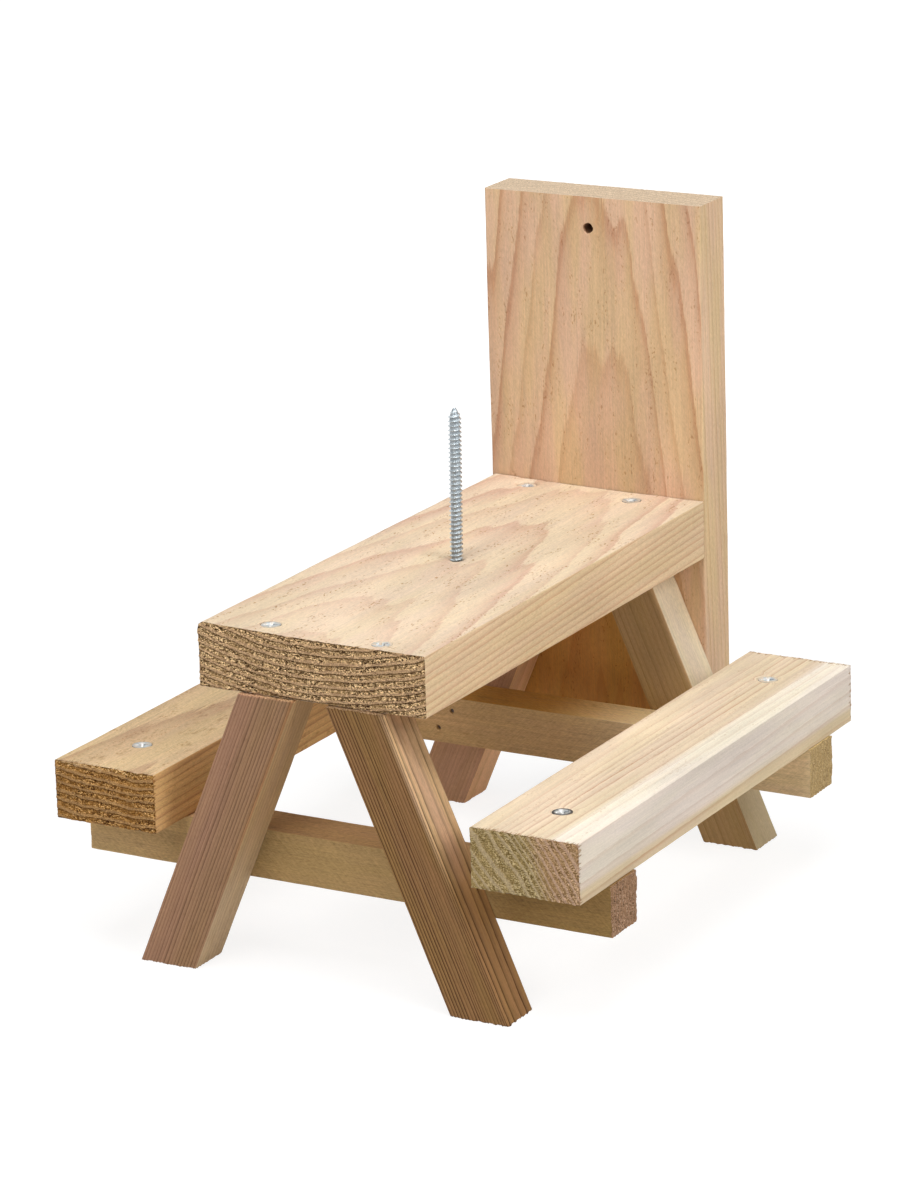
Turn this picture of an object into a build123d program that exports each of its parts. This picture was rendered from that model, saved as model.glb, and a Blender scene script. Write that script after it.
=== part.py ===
"""Squirrel feeder in the shape of a small picnic table, with a back board to fix it to a tree or post.

Frame: millimetres, +Z up, +Y towards the back board, and +X to the right of someone who faces the table's
front end. The origin lies on the floor, at the centre of the whole feeder's footprint.
"""

import math
import os

from build123d import *

# Table top
top_width = 89.0
top_thickness = 22.0
top_length = 206.0
table_height = 126.0  # floor to the eating surface
top_ease = 1.6  # radius of the milled long edges

# Back board
back_width = top_width  # sawn from the same stock, so their long edges are flush
back_thickness = 19.5
back_length = 206.0
back_rise = 110.0  # how far the board stands above the eating surface
back_ease = 0.8
hang_hole_radius = 1.9
hang_hole_drop = 11.7  # board's top end to the hole's centre
hang_hole_drift = -1.4  # sideways, from the centre line

# Benches
bench_width = 41.0
bench_thickness = 21.5
bench_length = 211.0
bench_height = 70.7  # floor to the seat
bench_inset = 62.3  # centre line to the seat's inner edge
bench_overhang = 4.8  # how far a seat's front end passes the table's front end
bench_ease = 0.5

# Legs, two at each end in the shape of an A
leg_width = 20.6  # square to the leg's length, in the plane of the A
leg_depth = 17.5
leg_top_inset = 6.0  # centre line to the leg's inner edge under the top
leg_foot_inset = 50.9  # centre line to the leg's inner edge on the floor
leg_proud = 1.5  # how far the front legs stand out past the table's front end
stick_ease = 0.4

# Stretchers, which tie a pair of legs and carry the benches
stretcher_proud = 0.7  # how far an end passes a seat's outer edge
stretcher_depth = 18.5
stretcher_height = 18.5

# Flat-head wood screws, drawn at their core size because the wood grips the thread
screw_radius = 1.3
screw_head_radius = 3.5
screw_point = 4.0
head_rim = 0.25  # straight rim round a flat head
head_half_angle = 41.0  # degrees, from the screw's axis
head_sink = 0.3  # head's face below the wood
recess_span = 3.7  # cross recess, wing tip to wing tip
recess_slot = 0.95
recess_depth = 1.4
recess_taper = 12.0  # degrees
top_screw_bite = 19.6  # depth in a leg's end
back_screw_bite = 22.0  # depth in the top's rear end
back_screw_edge = 10.5  # from the back board's long edge
bench_screw_cover = 8.5  # wood left under the point, in a stretcher
top_screw_out = 1.0  # outwards from the leg's centre line
front_screw_drift = 1.6  # sideways, of the front pair in the top
rear_screw_drift = -3.4  # sideways, of the rear pair in the top
left_screw_drift = 2.4  # lengthways, of the left pair in the top
bench_front_screw_drift = -3.0  # lengthways, from the middle of the front stretcher
bench_left_screw_drift = -1.6  # sideways, of the pair in the left bench

# Corn spike: a long screw driven up through the top, with its thread and point in the air
spike_radius = 2.1  # over the thread
spike_core_radius = 1.45
spike_head_radius = 4.15
spike_length = 76.2
spike_point = 4.2
spike_sink = 1.5
spike_drift = -1.5  # sideways, from the centre line

# Finish nails through the stretchers into the legs, set below the surface
nail_radius = 0.8
nail_point = 2.4
nail_set = 1.4
nail_cover = 2.8  # wood left past the point, in a leg
nail_step_across = 5.9
nail_step_down = 7.3
nail_bias = 2.5  # outwards from the leg's centre line

fit_gap = 0.04  # between a fastener and its hole, all round
cut_past = 1.0  # how far a cut runs past the surface it opens

# Levels and places that follow from the sizes above
underside = table_height - top_thickness
back_top = table_height + back_rise
stretcher_top = bench_height - bench_thickness
stretcher_middle = stretcher_top - stretcher_height / 2
stretcher_length = 2 * (bench_inset + bench_width + stretcher_proud)
overall_depth = bench_overhang + top_length + back_thickness
front_end = bench_overhang - overall_depth / 2
rear_end = front_end + top_length
leg_lean = (leg_foot_inset - leg_top_inset) / underside  # sideways per height
leg_cut = leg_width * math.hypot(1, leg_lean)  # level width of a leg's end
ends = {
    "front": {"leg": front_end - leg_proud, "stretcher": front_end - leg_proud + leg_depth},
    "rear": {"leg": rear_end - leg_depth, "stretcher": rear_end - leg_depth - stretcher_depth},
}
sides = {"left": -1, "right": 1}


def stick(size, corner, grain, ease):
    """A sawn board from its low corner, with the edges along its grain eased."""
    low = (Align.MIN, Align.MIN, Align.MIN)
    board = Pos(*corner) * Box(*size, align=low)
    return fillet(board.edges().filter_by(grain), min(ease, 0.2 * min(size)))


def turned(outline):
    """A solid of revolution about Z from (radius, height) points that start and end on the axis."""
    return revolve(Plane.XZ * make_face(Polyline(*outline, close=True)), Axis.Z)


def cone_height(head_radius, shank_radius):
    """Height of a flat head's cone."""
    return (head_radius - shank_radius) / math.tan(math.radians(head_half_angle))


def flat_head_screw(length, shank_radius, head_radius, point):
    """A flat-head screw with its head's face at the origin and its point down, and a cross recess."""
    neck = -head_rim - cone_height(head_radius, shank_radius)
    body = turned(
        [(0, 0), (head_radius, 0), (head_radius, -head_rim), (shank_radius, neck),
         (shank_radius, point - length), (0, -length)]
    )
    cross = Rectangle(recess_span, recess_slot) + Rectangle(recess_slot, recess_span)
    return body - extrude(cross, -recess_depth, taper=recess_taper)


def screw_hole(length, shank_radius, head_radius, point, sink):
    """What a flat-head screw takes out of the wood, open through the surface above its sunk head."""
    neck = -head_rim - cone_height(head_radius, shank_radius)
    wide, narrow = head_radius + fit_gap, shank_radius + fit_gap
    return turned(
        [(0, sink + cut_past), (wide, sink + cut_past), (wide, -head_rim - fit_gap), (narrow, neck - fit_gap),
         (narrow, point - length - fit_gap), (0, -length - fit_gap)]
    )


def nail(length):
    """A round nail with its blunt end at the origin and its point down."""
    return turned([(0, 0), (nail_radius, 0), (nail_radius, nail_point - length), (0, -length)])


def nail_hole(length):
    """What a nail takes out of the wood, with the short pit that a nail set leaves over it."""
    wide = nail_radius + fit_gap
    return turned(
        [(0, nail_set + cut_past), (wide, nail_set + cut_past), (wide, nail_point - length - fit_gap),
         (0, -length - fit_gap)]
    )


def leg_centre(height):
    """Distance from the centre line to a leg's own centre line, at a height above the floor."""
    return leg_top_inset + leg_cut / 2 + leg_lean * (underside - height)


def seat_middle(side):
    """A bench's centre line across the feeder."""
    return sides[side] * (bench_inset + bench_width / 2)


def make_leg(side, end):
    """One leaning leg, cut level at its head and its foot."""
    outline = Polyline(
        (leg_top_inset, underside), (leg_top_inset + leg_cut, underside),
        (leg_foot_inset + leg_cut, 0), (leg_foot_inset, 0), close=True,
    )
    leg = extrude(Plane.XZ * make_face(outline), -leg_depth)
    long_edges = [edge for edge in leg.edges() if edge.length > max(underside, leg_cut, leg_depth) - fit_gap]
    leg = Pos(0, ends[end]["leg"], 0) * fillet(long_edges, min(stick_ease, 0.2 * leg_width, 0.2 * leg_depth))
    return leg if side == "right" else mirror(leg, Plane.YZ)


# Bare wood, before the holes
wood = {
    "table_top": stick(
        (top_width, top_length, top_thickness), (-top_width / 2, front_end, underside), Axis.Y, top_ease),
    "back_board": stick(
        (back_width, back_thickness, back_length), (-back_width / 2, rear_end, back_top - back_length),
        Axis.Z, back_ease),
}
for side in sides:
    wood[f"bench_{side}"] = stick(
        (bench_width, bench_length, bench_thickness),
        (seat_middle(side) - bench_width / 2, front_end - bench_overhang, stretcher_top), Axis.Y, bench_ease)
for end, place in ends.items():
    wood[f"stretcher_{end}"] = stick(
        (stretcher_length, stretcher_depth, stretcher_height),
        (-stretcher_length / 2, place["stretcher"], stretcher_top - stretcher_height), Axis.X, stick_ease)
    for side in sides:
        wood[f"leg_{end}_{side}"] = make_leg(side, end)

# Fasteners: each list holds the seat of a head's face, with the point along the seat's own -Z
top_screw_length = top_thickness - head_sink + top_screw_bite
bench_screw_length = bench_thickness - head_sink + stretcher_height - bench_screw_cover
back_screw_length = back_thickness - head_sink + back_screw_bite
nail_length = stretcher_depth - nail_set + leg_depth - nail_cover
top_screw_x = leg_centre(underside - top_screw_bite / 2) + top_screw_out
top_screw_drift = {"front": front_screw_drift, "rear": rear_screw_drift}
bench_screw_y = {
    end: place["stretcher"] + stretcher_depth / 2 + (bench_front_screw_drift if end == "front" else 0)
    for end, place in ends.items()
}
fasteners = {}
holes = {name: [] for name in wood}


def drive(group, fastener, hole, seats, pieces):
    """Puts a copy of a fastener at each seat, and its hole on the list of the pieces it runs through."""
    fasteners.setdefault(group, []).extend(seat * fastener for seat in seats)
    for seat in seats:
        for piece in pieces:
            holes[piece].append(seat * hole)


def screw_pair(length, sink):
    """A wood screw of that length and the hole that it needs."""
    sizes = (length, screw_radius, screw_head_radius, screw_point)
    return flat_head_screw(*sizes), screw_hole(*sizes, sink)


for end, place in ends.items():
    for side, sign in sides.items():
        across = sign * top_screw_x + top_screw_drift[end]
        along = place["leg"] + leg_depth / 2 + (left_screw_drift if side == "left" else 0)
        seat = Pos(across, along, table_height - head_sink)
        drive(f"top_screws_{end}", *screw_pair(top_screw_length, head_sink), [seat],
              ["table_top", f"leg_{end}_{side}"])

        across = seat_middle(side) + (bench_left_screw_drift if side == "left" else 0)
        seat = Pos(across, bench_screw_y[end], bench_height - head_sink)
        drive(f"bench_screws_{side}", *screw_pair(bench_screw_length, head_sink), [seat],
              [f"bench_{side}", f"stretcher_{end}"])

        # Nails start from the stretcher's face that looks into the feeder and run out towards the leg.
        inner_face = place["stretcher"] + (stretcher_depth - nail_set if end == "front" else nail_set)
        turn = Rot(-90, 0, 0) if end == "front" else Rot(90, 0, 0)
        across, down = leg_centre(stretcher_middle) + nail_bias, stretcher_middle
        seats = [
            Pos(sign * (across + step * nail_step_across), inner_face, down - step * nail_step_down) * turn
            for step in (-0.5, 0.5)
        ]
        drive(f"stretcher_nails_{end}", nail(nail_length), nail_hole(nail_length), seats,
              [f"stretcher_{end}", f"leg_{end}_{side}"])

back_screw_x = back_width / 2 - back_screw_edge
back_screw_height = table_height - top_thickness / 2
back_seats = [
    Pos(sign * back_screw_x, rear_end + back_thickness - head_sink, back_screw_height) * Rot(-90, 0, 0)
    for sign in sides.values()
]
drive("back_screws", *screw_pair(back_screw_length, head_sink), back_seats, ["back_board", "table_top"])

# The spike's thread stands free of the wood, so it is drawn at its full width from the eating surface up.
spike_sizes = (spike_length, spike_core_radius, spike_head_radius, spike_point)
spike_grip = top_thickness - spike_sink
spike_thread = turned(
    [(0, -spike_grip), (spike_radius, -spike_grip), (spike_radius, spike_point - spike_length),
     (0, -spike_length)]
)
spike_seat = Pos(spike_drift, front_end + top_length / 2, underside + spike_sink) * Rot(180, 0, 0)
drive("corn_spike", flat_head_screw(*spike_sizes) + spike_thread, screw_hole(*spike_sizes, spike_sink),
      [spike_seat], ["table_top"])

hang_hole = Rot(90, 0, 0) * Cylinder(hang_hole_radius, back_thickness + 2 * cut_past)
holes["back_board"].append(Pos(hang_hole_drift, rear_end + back_thickness / 2, back_top - hang_hole_drop) * hang_hole)

# One STEP file for each node
os.makedirs("parts", exist_ok=True)
for name, piece in wood.items():
    export_step(piece - holes[name], f"parts/{name}.step")
for name, copies in fasteners.items():
    export_step(copies[0] if len(copies) == 1 else Compound(children=copies), f"parts/{name}.step")
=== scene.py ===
"""The looks of a small cedar picnic-table squirrel feeder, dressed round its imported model.

Each board is a closed grid with sawn faces, torn end grain and real screw holes. Its growth rings are worked
out once, from a pith line or a ridge, and both the relief and the colours follow them. Lengths are in
millimetres until they go into a mesh.
"""

import math

import bpy
import numpy as np
from mathutils import Matrix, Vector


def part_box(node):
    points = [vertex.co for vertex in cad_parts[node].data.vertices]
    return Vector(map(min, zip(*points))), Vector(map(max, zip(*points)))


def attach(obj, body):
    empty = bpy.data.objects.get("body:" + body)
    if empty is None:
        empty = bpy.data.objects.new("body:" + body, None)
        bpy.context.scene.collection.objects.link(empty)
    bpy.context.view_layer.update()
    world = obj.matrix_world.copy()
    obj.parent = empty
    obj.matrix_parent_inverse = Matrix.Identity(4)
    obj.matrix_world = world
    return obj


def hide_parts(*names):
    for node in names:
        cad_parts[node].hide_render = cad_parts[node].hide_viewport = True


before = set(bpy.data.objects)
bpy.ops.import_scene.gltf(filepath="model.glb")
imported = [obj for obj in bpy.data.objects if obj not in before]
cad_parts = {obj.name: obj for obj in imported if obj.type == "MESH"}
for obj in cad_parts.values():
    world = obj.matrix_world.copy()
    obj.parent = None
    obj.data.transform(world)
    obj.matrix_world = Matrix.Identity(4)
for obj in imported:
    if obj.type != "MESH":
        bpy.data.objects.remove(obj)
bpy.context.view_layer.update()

MM = 0.001
LEG_LEAN = (50.9 - 6.0) / 104.0  # sideways per height
LEG_COSINE = 1 / math.hypot(1, LEG_LEAN)
HANG_HOLE = (-1.4, 224.3)  # sideways and height
TOP_SWELL = 1.3  # how much thicker the table top is at its left edge
HEAD_RADIUS = 3.5
HEAD_HALF_ANGLE = math.radians(41)
HEAD_SINK = 0.3
SCREW_CORE = 1.3
SCREW_POINT = 4.0
SCREW_SHORT = 1.0  # how much shorter a dressed screw is than its packed one
SPIKE_HEAD_RADIUS = 4.15
SPIKE_SHANK = 1.45
SHANK_TOP = 3.0  # how far under the wood's surface the plain shank ends
SPIKE_CORE = 1.8
SPIKE_CREST = 2.4
SPIKE_PITCH = 1.63
SPIKE_GRIP = 4.0  # how far the thread goes on into the wood
SPIKE_LEAN = 0.0173  # sideways per height
SPIKE_MIDDLE = 121.4  # height that the lean turns about
NAIL_RADIUS = 0.8
NAIL_STEP = 5.9  # sideways between the two nails of a pair
# Where a board's across, along and through directions point, or a screw's, whose own head faces up
FLAT = [[1, 0, 0], [0, 1, 0], [0, 0, 1]]
UPRIGHT = [[1, 0, 0], [0, 0, 1], [0, -1, 0]]
UPSIDE_DOWN = [[1, 0, 0], [0, -1, 0], [0, 0, -1]]
BACKWARDS = [[1, 0, 0], [0, 0, -1], [0, 1, 0]]
PLAIN = (1, 1, 1)  # a tint that changes nothing


def node_box(name):
    """Lowest and highest corner of a CAD node, in millimetres."""
    return [np.array(corner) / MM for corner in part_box(name)]


# Noise


def corner_values(corners, seed):
    """A repeatable value from -1 to 1 for each whole-number corner: its three numbers are multiplied,
    added, and mixed by folding the high bits down."""
    mixed = corners.astype(np.int64) @ np.array([374761393, 668265263, 1440662683], np.int64)
    mixed = (mixed + seed * 974634211) & 0xFFFFFFFF
    mixed = ((mixed ^ (mixed >> 13)) * 1274126177) & 0xFFFFFFFF
    mixed = ((mixed ^ (mixed >> 15)) * 2246822519) & 0xFFFFFFFF
    return (mixed ^ (mixed >> 16)) / 2147483648.0 - 1.0


def soft_noise(points, size, seed):
    """Smooth noise from -1 to 1: the corner values of a lattice of such cells, blended by a smooth
    step."""
    scaled = points / size
    cell = np.floor(scaled)
    part = scaled - cell
    part = part**3 * (part * (part * 6 - 15) + 10)
    total = np.zeros(len(points))
    for step in np.ndindex(2, 2, 2):
        share = np.prod(np.where(step, part, 1 - part), axis=1)
        total += share * corner_values(cell + step, seed)
    return total


def ease(low, high, value):
    """A smooth step from 0 at low to 1 at high."""
    t = np.clip((value - low) / (high - low), 0, 1)
    return t * t * (3 - 2 * t)


def mask(grain, steps):
    """The product of smooth steps from 0 to 1. A step has a low and a high value, for the sum of the place
    in the grain times three weights."""
    share = np.ones(len(grain))
    for low, high, *weights in steps:
        share *= ease(low, high, grain @ weights)
    return share


def between(share, first, second):
    """Colour factors that go from the first, where the share is 0, to the second, where it is 1."""
    return np.outer(1 - share, first) + np.outer(share, second)


# Growth rings

RIDGE_COUNT = 100  # distance to the pith at the ridge of an arched stock
CALM_LENGTH = 40  # over which the waves calm down


def ring_number(stock, points):
    """How many rings lie between each point and the board's mark, where a ring ends. The distance from a
    pith line that leans through the board, or for an arched stock a blunt ridge that falls away on both
    sides, gets slow waves, broad jags and fine teeth along the grain, which may calm down towards the
    front end, and is counted in ring widths. A slow wave of the count makes wide and narrow rings, and a
    tightening makes them narrower outwards."""
    points = np.vstack([points, stock["mark"]])
    across, along, deep = points.T
    lean_u, lean_w = stock["lean"]
    if "arch" in stock:
        place, blunt, fall_left, fall_right = stock["arch"]
        side = across - place - lean_u * along
        fall = np.where(side < 0, fall_left, fall_right)
        distance = RIDGE_COUNT - deep + lean_w * along + fall * (np.hypot(side, blunt) - blunt)
    else:
        pith_u, pith_w = stock["pith"]
        distance = np.hypot(across - pith_u - lean_u * along, deep - pith_w - lean_w * along)
        distance += stock["tighten"] * (distance - math.hypot(pith_u, pith_w)) ** 2
    seed, sway, reach = stock["seed"], stock["sway"], stock["reach"]
    wander = stock["wave"] * soft_noise(points, (sway, 110, sway), seed)
    wander += stock["jag"] * soft_noise(points, (4.5, 70, 4.5), seed + 9)
    wander += stock["teeth"] * soft_noise(points, (1.9, 34, 1.9), seed + 1)
    distance += wander * (1 - stock["calm"] * ease(reach - CALM_LENGTH, reach, -along))
    number = distance / stock["ring"]
    drift = np.column_stack([number, 0 * number, 0 * number])
    number += stock["uneven"] * soft_noise(drift, (3.3, 1, 1), seed + 2)
    return number[:-1] - number[-1]


def late_wood(number):
    """From 0 in a ring's early wood to 1 in its late wood, which starts slowly and ends sharply."""
    part = number - np.floor(number)
    return ease(0.35, 0.92, part) * (1 - ease(0.95, 1.0, part))


# Board shapes


def lines(length, step, fine_spots):
    """Grid lines over a length, about a step apart, and closer round the fine spots, each a place, a reach
    and a step: the lines lie at equal shares of the running sum of one over the local step."""
    samples, fade_steps = 6001, 2.2
    fine = np.linspace(-length / 2, length / 2, samples)
    local = np.full_like(fine, step)
    for place, reach, spot_step in fine_spots:
        fade = ease(reach, reach + fade_steps * step, np.abs(fine - place))
        local = np.minimum(local, spot_step + (step - spot_step) * fade)
    count = np.concatenate([[0], np.cumsum((1 / local[1:] + 1 / local[:-1]) / 2 * np.diff(fine))])
    total = int(np.ceil(count[-1]))
    return np.interp(np.linspace(0, count[-1], total + 1), count, fine)


def block_grid(us, vs, ws):
    """A block's closed surface as six grids that share their edges. Gives each corner's line numbers, the
    four-sided faces, and each face's side: 0 and 1 across, 2 and 3 along, 4 and 5 through, low before
    high."""
    top = (len(us) - 1, len(vs) - 1, len(ws) - 1)
    corner_sets, sides = [], []
    for axis in range(3):
        b, c = (axis + 1) % 3, (axis + 2) % 3
        for high in (0, 1):
            first, second = np.meshgrid(np.arange(top[b]), np.arange(top[c]), indexing="ij")
            first, second = first.ravel(), second.ravel()
            ring = [(0, 0), (1, 0), (1, 1), (0, 1)]
            quad = np.zeros((len(first), 4, 3), np.int64)
            for place, (db, dc) in enumerate(ring if high else ring[::-1]):
                quad[:, place, axis] = top[axis] * high
                quad[:, place, b] = first + db
                quad[:, place, c] = second + dc
            corner_sets.append(quad)
            sides.append(np.full(len(first), axis * 2 + high))
    corners = np.concatenate(corner_sets)
    wide, deep = top[1] + 1, top[2] + 1
    keys = (corners[..., 0] * wide + corners[..., 1]) * deep + corners[..., 2]
    unique, faces = np.unique(keys, return_inverse=True)
    index = np.column_stack([unique // (wide * deep), unique // deep % wide, unique % deep])
    return index, faces.reshape(-1, 4), np.concatenate(sides)


def round_edges(points, half, radii):
    """Rounds the edges along the grain, with radii for the lower and upper left and the lower and upper
    right: where a point is outside the core, which is the section less the radius, in both directions, its
    offset from the core is shortened from a square to a circle."""
    section = points[:, [0, 2]]
    radius = np.array(radii)[2 * (section[:, 0] > 0) + (section[:, 1] > 0)][:, None]
    core = np.clip(section, -(half[[0, 2]] - radius), half[[0, 2]] - radius)
    out = section - core
    widest = np.abs(out).max(axis=1)
    reach = np.maximum(np.hypot(out[:, 0], out[:, 1]), 1e-9)
    outside = (np.abs(out) > 1e-9).all(axis=1)
    points[:, [0, 2]] = core + out * np.where(outside, widest / reach, 1)[:, None]


def sink_holes(points, index, faces, holes, us, vs, ws):
    """Turns square patches of a face's grid into round holes. A corner's ring is the larger of its two
    line counts from the hole's middle, and an outline gives the radius and depth of each ring. Past the
    last ring the corners ease back to their lines. A hole right through takes both faces to the same inner
    ring, which is joined, and loses the faces inside it."""
    spare = 5  # rings over which the corners ease back
    cell = us[1] - us[0]
    joined = np.arange(len(points))
    keep = np.ones(len(faces), bool)
    for hole in holes:
        place_u, place_v = hole["at"]
        middle = np.array([np.abs(us - place_u).argmin(), np.abs(vs - place_v).argmin()])
        radii, depths = np.array(hole["outline"], float).T
        last = len(radii) - 1
        both = hole.get("through", False)
        rings = {}
        for high in ((1, 0) if both else (hole.get("high", 1),)):
            offset = index[:, :2] - middle
            ring = np.abs(offset).max(axis=1)
            on_face = index[:, 2] == (len(ws) - 1) * high
            near = np.flatnonzero(on_face & (ring <= last + spare))
            step, count = offset[near].astype(float), ring[near]
            inside = np.minimum(count, last)
            length = np.maximum(np.hypot(step[:, 0], step[:, 1]), 1e-9)
            angle = np.arctan2(step[:, 1], step[:, 0])
            radius = np.where(count <= last, radii[inside], radii[last] + (count - last) * cell)
            spots = np.full(len(near), place_u + place_v)
            spots = np.column_stack([np.cos(angle) * 2, np.sin(angle) * 2, spots])
            radius = radius * (1 + hole.get("ragged", 0.0) * soft_noise(spots, (0.9, 0.9, 0.9), 77))
            round_place = hole["at"] + step / length[:, None] * radius[:, None]
            mix = ease(last, last + spare, count)[:, None]
            points[near, :2] = round_place * (1 - mix) + points[near, :2] * mix
            points[near, 2] -= np.where(count <= last, depths[inside], 0) * (1 if high else -1)
            inner = np.flatnonzero(on_face & (ring <= 1))
            rings[high] = inner[np.lexsort((index[inner, 1], index[inner, 0]))]
            if both:
                keep &= ~(np.isin(faces, rings[high]).all(axis=1))
        if both:
            joined[rings[0]] = rings[1]
    return joined[faces], keep


def make_piece(name, points, faces, materials, slots=None, sharp=40.0):
    """A mesh object at the origin from points in millimetres and four-sided faces, shaded smooth up to an
    angle. Corners that no face uses are dropped. Gives the object and the numbers of the corners it kept."""
    used, faces = np.unique(faces, return_inverse=True)
    faces = faces.reshape(-1, 4)
    mesh = bpy.data.meshes.new(name)
    mesh.vertices.add(len(used))
    mesh.vertices.foreach_set("co", (points[used] * MM).astype(np.float32).ravel())
    mesh.loops.add(faces.size)
    mesh.loops.foreach_set("vertex_index", faces.astype(np.int32).ravel())
    mesh.polygons.add(len(faces))
    mesh.polygons.foreach_set("loop_start", np.arange(0, faces.size, 4, dtype=np.int32))
    mesh.polygons.foreach_set("use_smooth", np.ones(len(faces), bool))
    for material in materials:
        mesh.materials.append(material)
    if slots is not None:
        mesh.polygons.foreach_set("material_index", slots.astype(np.int32))
    mesh.update(calc_edges=True)
    mesh.validate()
    mesh.set_sharp_from_angle(angle=math.radians(sharp))
    piece = bpy.data.objects.new(name, mesh)
    bpy.context.scene.collection.objects.link(piece)
    return piece, used


def store(piece, name, values, domain="POINT"):
    """Keeps values, or rows of three, as a named attribute of a piece."""
    kind, field = ("FLOAT", "value") if values.ndim == 1 else ("FLOAT_VECTOR", "vector")
    attribute = piece.data.attributes.new(name, kind, domain)
    attribute.data.foreach_set(field, values.astype(np.float32).ravel())


def board(node, size, centre, axes, stock, materials, holes, grain_scale):
    """One sawn board. The rings raise and lower the sides of a block's grid, a hair on the sawn faces and
    more on the torn ends, whose rims are chipped. Its long edges are then rounded, its holes sunk, and its
    upper face lifted by a swell times the cube of the share from the right edge to the left. Its
    attributes hold the ring, the place in the grain, the sapwood share, which on some boards is painted
    light and shade, a stain that multiplies the colour and also carries painted shade and highlights, the
    gap to the nearest end, and which faces are narrow edges."""
    half = size / 2
    cell, seed = stock["cell"], stock["seed"]
    end_reach, end_step, wide, narrow = 1.6, 0.4, 7.0, 3.4
    spots = [(place, end_reach, end_step) for place in (-half[1], half[1])]
    spots += [(hole["at"][1], wide if len(hole["outline"]) > 5 else narrow, cell) for hole in holes]
    us, ws = lines(size[0], cell, []), lines(size[2], cell, [])
    vs = lines(size[1], stock["coarse"], spots)
    index, faces, sides = block_grid(us, vs, ws)
    points = np.column_stack([us[index[:, 0]], vs[index[:, 1]], ws[index[:, 2]]])
    gap = half[1] - np.abs(points[:, 1])
    grain = points * grain_scale
    number = ring_number(stock, grain)
    late = late_wood(number)

    # Torn ends: late wood stands as ropes, early wood is chopped out, and fibres break off the rims
    rim_gap = np.minimum(half[0] - np.abs(points[:, 0]), half[2] - np.abs(points[:, 2]))
    chips = np.clip(soft_noise(grain, (1.1, 6, 1.1), seed + 5) + 0.1, 0, 1) * (1 - ease(0.1, 1.2, rim_gap))
    pits = 0.5 * soft_noise(grain, (1.0, 9, 0.7), seed + 3)
    pits += 0.7 * soft_noise(grain, (0.6, 9, 0.5), seed + 4)
    patch = ease(-0.5, 0.35, soft_noise(grain, (13, 50, 9), seed + 10))
    soft = 1 - 0.75 * late
    chopped = np.clip(0.25 - pits, 0, 1) * (0.35 + 0.65 * patch) * soft
    end_relief = stock["torn"] * (0.35 * late - 0.35 + 0.18 * pits * soft - chopped) - stock["chips"] * chips

    # Sawn faces: late wood stands a hair proud, over a slow unevenness and lifted fibres
    sawn = 0.05 * (late - 0.6) + 0.10 * soft_noise(grain, (9, 60, 9), seed + 6)
    sawn += 0.05 * soft_noise(grain, (0.95, 5, 0.95), seed + 7) - 0.08

    # Sapwood and painted light, and a stain with painted shade and highlights and a pale fringe along the
    # upper rims of the ends
    depth = half[2] - points[:, 2] + 1.1 * soft_noise(grain, (1.3, 6, 1.3), seed + 11)
    fringe = stock["fringe"] * (1 - ease(0.4, 1.5, depth)) * (gap < 0.1)
    stain_and_painted_light = 1 + np.outer(fringe, (0.5, 0.75, 1.3))
    for first, second, *steps in stock["stain_and_painted_light"]:
        stain_and_painted_light *= between(mask(grain, steps), first, second)
    # A hole with a tint gets it on its bore: painted shade inside the hanging hole
    for hole in holes:
        inside = 1 - ease(1.6, 2.2, np.abs(grain[:, :2] - hole["at"]).max(axis=1))
        stain_and_painted_light *= between(inside, PLAIN, hole.get("tint", PLAIN))
    sap = sum((amount * mask(grain, steps) for amount, *steps in stock["sap"]), np.zeros(len(grain)))

    last = index.max(axis=0)
    for axis in range(3):
        for high, sign in ((0, -1), (1, 1)):
            on_side = index[:, axis] == last[axis] * high
            relief = stock["ends"][high] * end_relief if axis == 1 else sawn
            points[on_side, axis] += sign * relief[on_side]
    round_edges(points, half, stock["ease"])
    faces, keep = sink_holes(points, index, faces, holes, us, vs, ws)
    faces, sides = faces[keep], sides[keep]
    leftward = 0.5 - points[:, 0] / size[0]
    points[:, 2] += stock["swell"] * leftward**3 * (0.5 + points[:, 2] / size[2])

    placed = centre + points @ axes
    piece, used = make_piece(f"{node}_wood", placed, faces, materials, np.isin(sides, (2, 3)))
    rows = {"ring": number, "grain": grain, "sap": sap, "stain_and_painted_light": stain_and_painted_light, "gap": gap}
    for label, values in rows.items():
        store(piece, label, values[used])
    store(piece, "edge", np.isin(sides, (0, 1)), "FACE")
    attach(piece, "root")
    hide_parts(node)
    return piece


# Shader building


def plug(node, inputs):
    """Links a node's inputs to sockets, or sets them to values."""
    for key, value in inputs.items():
        if isinstance(value, bpy.types.NodeSocket):
            node.id_data.links.new(value, node.inputs[key])
        else:
            node.inputs[key].default_value = value


def add(tree, kind, inputs=None, **settings):
    """A new shader node with its settings, and its inputs linked or set."""
    node = tree.nodes.new(f"ShaderNode{kind}")
    for key, value in settings.items():
        setattr(node, key, value)
    plug(node, inputs or {})
    return node


def join(kind, inputs, **settings):
    """A new shader node in the tree of the first socket among its inputs."""
    sockets = [value for value in inputs.values() if isinstance(value, bpy.types.NodeSocket)]
    return add(sockets[0].id_data, kind, inputs, **settings)


def calc(operation, *values):
    """The output of a maths node."""
    return join("Math", dict(enumerate(values)), operation=operation).outputs[0]


def times(first, *others):
    """The product of several values."""
    for other in others:
        first = calc("MULTIPLY", first, other)
    return first


def grown(value, factor, start):
    """A start value plus a factor times a value."""
    return calc("MULTIPLY_ADD", value, factor, start)


def step_up(value, low, high, start=0.0, end=1.0):
    """A smooth step of a value between two limits."""
    inputs = {"Value": value, "From Min": low, "From Max": high, "To Min": start, "To Max": end}
    return join("MapRange", inputs, interpolation_type="SMOOTHSTEP").outputs["Result"]


def by_side(edge, face_value, edge_value):
    """The first value on a board's faces and the second on its narrow edges."""
    return join("Mix", {"Factor": edge, "A": face_value, "B": edge_value}).outputs[0]


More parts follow.
